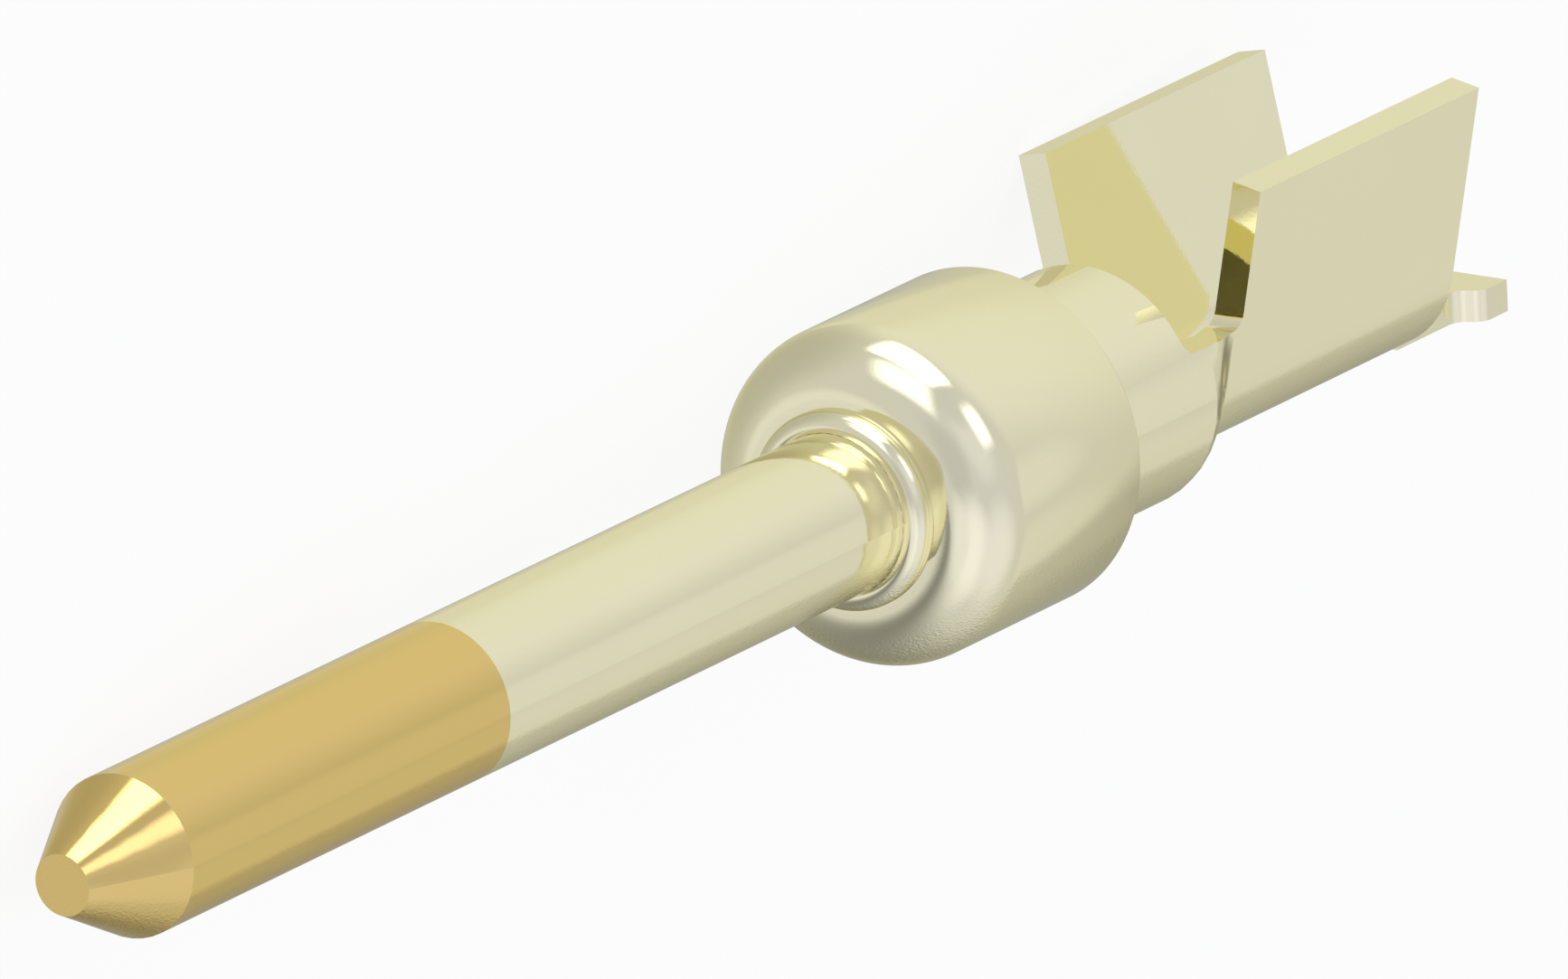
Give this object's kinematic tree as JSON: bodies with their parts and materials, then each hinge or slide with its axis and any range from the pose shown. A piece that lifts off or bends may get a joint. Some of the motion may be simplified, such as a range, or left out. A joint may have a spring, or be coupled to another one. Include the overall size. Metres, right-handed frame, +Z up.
{
  "type": "pin contact",
  "caption": "Crimp pin contact: a gold-tipped pin, a round-nosed collar sleeve, a window and an open U barrel for the wire, with its cut-off tab.",
  "frame": {"origin": "centre of the collar's flat rear face, on the contact's axis", "axes": "as the contact lies on a table, +Z up; +X is the way the pin points, which dips 4.07 degrees below level; the barrel's opening faces sideways towards -Y and down, 66.9 degrees from straight down"},
  "size_m": [0.0151, 0.0026, 0.0023],
  "materials": {
    "plated_sheet": "bright pale plate, with gold over the front of the pin",
    "plated_sleeve": "bright pale plate"
  },
  "bodies": {
    "root": {"contact_body": "plated_sheet", "collar_sleeve": "plated_sleeve"}
  },
  "joints": []
}
